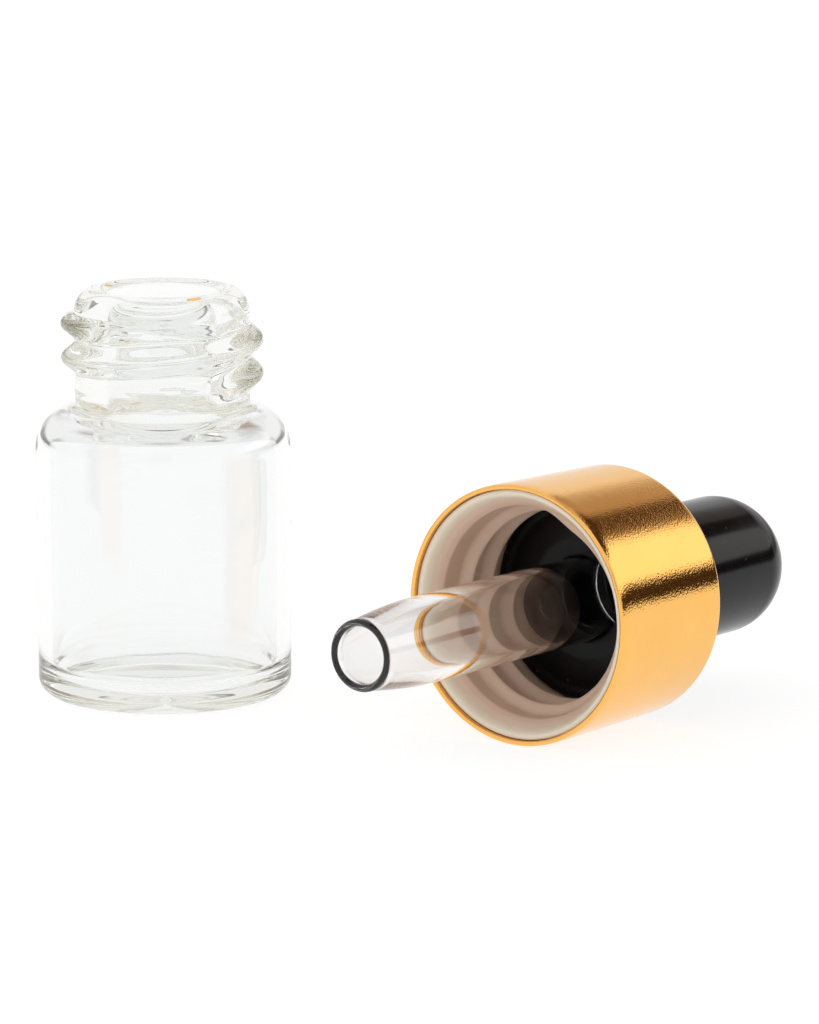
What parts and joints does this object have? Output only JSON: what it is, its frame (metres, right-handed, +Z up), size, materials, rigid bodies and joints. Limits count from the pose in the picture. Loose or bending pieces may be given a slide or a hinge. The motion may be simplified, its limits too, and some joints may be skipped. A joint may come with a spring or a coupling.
{
  "type": "sample vial with dropper",
  "caption": "Small clear glass vial with a threaded neck, and its screw-on pipette dropper lying beside it: glass pipette, threaded inner cap, gold collar and black rubber bulb.",
  "frame": {"origin": "the middle of the vial's flat base, on the surface that the vial stands on and the dropper lies on", "axes": "+Z up along the vial's axis; +X from the vial towards the dropper; -Y towards the side where the dropper's tip points"},
  "size_m": [0.0471, 0.0364, 0.0257],
  "materials": {
    "vial_glass": "clear, slightly green at the edges",
    "pipette_glass": "clear, fire-polished ends",
    "gold_anodised": "gold anodised, bright with a fine grain",
    "natural_polypropylene": "natural, milky and slightly see-through",
    "black_rubber": "smooth and glossy"
  },
  "bodies": {
    "vial": {"glass_vial": "vial_glass"},
    "pipette": {"glass_pipette": "pipette_glass"},
    "cap": {"collar": "gold_anodised", "inner_cap": "natural_polypropylene"},
    "bulb": {"rubber_bulb": "black_rubber"}
  },
  "joints": [
    {"name": "dropper_raise", "type": "hinge", "parent": "vial", "child": "pipette", "pos_m": [0.01872, -0.01911, 0.0118], "axis": [0.7923, -0.6101, 0], "range_deg": [0, 90.9]},
    {"name": "cap_turn", "type": "hinge", "parent": "pipette", "child": "cap", "pos_m": [0.02177, -0.01515, 0.008], "axis": [0.6101, 0.7922, -0.0153], "continuous": true},
    {"name": "bulb_squeeze", "type": "slide", "parent": "pipette", "child": "bulb", "axis": [0.0093, 0.0121, 0.9999], "range_m": [0, 0.002], "stiffness_N_per_m": 400, "deforming": ["rubber_bulb"]}
  ]
}
